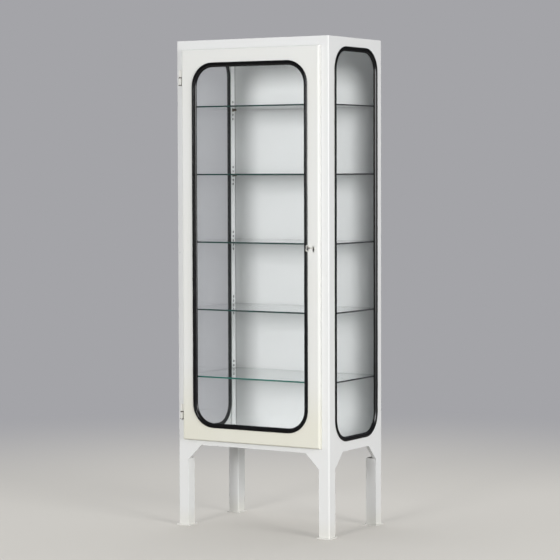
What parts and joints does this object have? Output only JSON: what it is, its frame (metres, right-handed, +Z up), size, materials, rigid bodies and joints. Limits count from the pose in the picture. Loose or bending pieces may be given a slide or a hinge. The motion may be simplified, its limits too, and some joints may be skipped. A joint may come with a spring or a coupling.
{
  "type": "glass door medical cabinet",
  "caption": "Tall white sheet steel medical cabinet on box legs, with rubber-glazed side windows, a hinged glass door with a key lock, and glass shelves on pins.",
  "frame": {"origin": "on the floor, at the middle of the box that holds the whole object with the door shut and the key in", "axes": "+Z up, -Y out of the door, +X to the lock side as seen from the front"},
  "size_m": [0.612, 0.432, 1.665],
  "materials": {
    "white_paint": "satin",
    "window_glass": "clear",
    "shelf_glass": "polished edge",
    "black_rubber": "satin",
    "zinc_steel": "zinc plated",
    "brass": "turned",
    "nickel": "nickel plated"
  },
  "bodies": {
    "carcass": {"side_panel_left": "white_paint", "side_panel_right": "white_paint", "front_stile_left": "white_paint", "front_stile_right": "white_paint", "rebate_strip_left": "white_paint", "rebate_strip_right": "white_paint", "front_rail_top": "white_paint", "front_apron": "white_paint", "back_panel": "white_paint", "top_panel": "white_paint", "floor_pan": "white_paint", "leg_front_left": "white_paint", "leg_front_right": "white_paint", "leg_rear_left": "white_paint", "leg_rear_right": "white_paint", "foot_plate_front_left": "white_paint", "foot_plate_front_right": "white_paint", "foot_plate_rear_left": "white_paint", "foot_plate_rear_right": "white_paint", "shelf_upright_front_left": "white_paint", "shelf_upright_front_right": "white_paint", "shelf_upright_rear_left": "white_paint", "shelf_upright_rear_right": "white_paint", "window_glass_left": "window_glass", "window_glass_right": "window_glass", "window_gasket_left": "black_rubber", "window_gasket_right": "black_rubber", "glass_shelf_1": "shelf_glass", "glass_shelf_2": "shelf_glass", "glass_shelf_3": "shelf_glass", "glass_shelf_4": "shelf_glass", "glass_shelf_5": "shelf_glass", "shelf_pins_1": "zinc_steel", "shelf_pins_2": "zinc_steel", "shelf_pins_3": "zinc_steel", "shelf_pins_4": "zinc_steel", "shelf_pins_5": "zinc_steel", "hinge_frame_upper": "white_paint", "hinge_frame_lower": "white_paint", "hinge_pin_upper": "zinc_steel", "hinge_pin_lower": "zinc_steel", "door_buffers": "black_rubber"},
    "door": {"door_skin": "white_paint", "door_back_frame": "white_paint", "door_glass": "window_glass", "door_gasket": "black_rubber", "hinge_door_upper": "white_paint", "hinge_door_lower": "white_paint", "lock_case": "zinc_steel", "lock_screws": "zinc_steel"},
    "lock_drum": {"lock_drum": "brass"},
    "lock_bolt": {"lock_bolt": "zinc_steel"},
    "key": {"key": "nickel"}
  },
  "joints": [
    {"name": "door_hinge", "type": "hinge", "parent": "carcass", "child": "door", "pos_m": [-0.28, -0.1585, 0.96725], "axis": [0, 0, -1], "range_deg": [0, 165]},
    {"name": "lock_turn", "type": "hinge", "parent": "door", "child": "lock_drum", "pos_m": [0.25, -0.151, 0.96725], "axis": [0, 1, 0], "range_deg": [0, 360]},
    {"name": "bolt_throw", "type": "slide", "parent": "door", "child": "lock_bolt", "axis": [1, 0, 0], "range_m": [0, 0.009]},
    {"name": "key_withdraw", "type": "slide", "parent": "lock_drum", "child": "key", "axis": [0, -1, 0], "range_m": [0, 0.026]}
  ],
  "couplings": [
    {"joint": "bolt_throw", "follows": "lock_turn", "m_per_rad": 0.001432}
  ]
}
